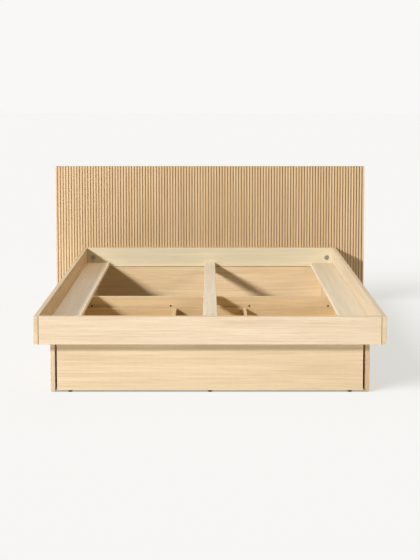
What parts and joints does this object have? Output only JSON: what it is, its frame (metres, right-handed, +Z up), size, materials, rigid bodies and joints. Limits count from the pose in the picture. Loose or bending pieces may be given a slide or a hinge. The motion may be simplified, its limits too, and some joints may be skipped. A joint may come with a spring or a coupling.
{
  "type": "bed frame",
  "caption": "Low wooden platform bed frame with a slatted headboard, a recessed plinth and a wide storage drawer at the foot end.",
  "frame": {"origin": "on the floor, at the centre of the whole bed's footprint, headboard included", "axes": "+Z up, +X across the bed towards its right side seen from the foot end, +Y from the foot end towards the headboard"},
  "size_m": [2.288, 2.1066, 1.025],
  "materials": {
    "oak_veneer": "pale oak veneer, matt lacquer",
    "oak_slats": "pale oak slats, matt lacquer, upright grain",
    "oak_panel": "oak veneer, matt, long grain",
    "raw_pine": "raw planed softwood",
    "drawer_board": "foil-faced board, light oak",
    "backing_board": "plain board, unfinished",
    "zinc_steel": "bright zinc plated",
    "black_plastic": "black moulded plastic",
    "beech_dowel": "fluted beech"
  },
  "bodies": {
    "bed": {"beam_hanger": "zinc_steel", "centre_beam_foot": "raw_pine", "centre_beam_head": "raw_pine", "corner_dowel_foot_left_lower": "beech_dowel", "corner_dowel_foot_left_upper": "beech_dowel", "corner_dowel_foot_right_lower": "beech_dowel", "corner_dowel_foot_right_upper": "beech_dowel", "corner_dowel_head_left_lower": "beech_dowel", "corner_dowel_head_left_upper": "beech_dowel", "corner_dowel_head_right_lower": "beech_dowel", "corner_dowel_head_right_upper": "beech_dowel", "foot_rail": "oak_veneer", "hanger_screw_left": "zinc_steel", "hanger_screw_right": "zinc_steel", "head_rail": "raw_pine", "headboard_back_board": "backing_board", "headboard_bolt_left": "zinc_steel", "headboard_bolt_right": "zinc_steel", "headboard_nut_left": "zinc_steel", "headboard_nut_right": "zinc_steel", "headboard_pad_left": "black_plastic", "headboard_pad_middle": "black_plastic", "headboard_pad_right": "black_plastic", "headboard_slatted_panel": "oak_slats", "headboard_washer_left": "zinc_steel", "headboard_washer_right": "zinc_steel", "ledge_bracket_left_foot": "zinc_steel", "ledge_bracket_left_head": "zinc_steel", "ledge_bracket_left_middle": "zinc_steel", "ledge_bracket_right_foot": "zinc_steel", "ledge_bracket_right_head": "zinc_steel", "ledge_bracket_right_middle": "zinc_steel", "ledge_left": "raw_pine", "ledge_right": "raw_pine", "plinth_cross_panel": "oak_panel", "plinth_glide_left_foot": "black_plastic", "plinth_glide_left_head": "black_plastic", "plinth_glide_left_middle": "black_plastic", "plinth_glide_right_foot": "black_plastic", "plinth_glide_right_head": "black_plastic", "plinth_glide_right_middle": "black_plastic", "plinth_head_panel": "oak_panel", "plinth_side_left": "oak_veneer", "plinth_side_right": "oak_veneer", "side_rail_left": "oak_veneer", "side_rail_right": "oak_veneer"},
    "drawer": {"drawer_back": "drawer_board", "drawer_bottom": "drawer_board", "drawer_divider_left": "drawer_board", "drawer_divider_right": "drawer_board", "drawer_front": "oak_veneer", "drawer_glide_back_left": "black_plastic", "drawer_glide_back_middle": "black_plastic", "drawer_glide_back_right": "black_plastic", "drawer_glide_front_left": "black_plastic", "drawer_glide_front_middle": "black_plastic", "drawer_glide_front_right": "black_plastic", "drawer_side_left": "drawer_board", "drawer_side_right": "drawer_board"}
  },
  "joints": [
    {"name": "drawer_slide", "type": "slide", "parent": "bed", "child": "drawer", "axis": [0, -1, 0], "range_m": [0, 0.75]}
  ]
}
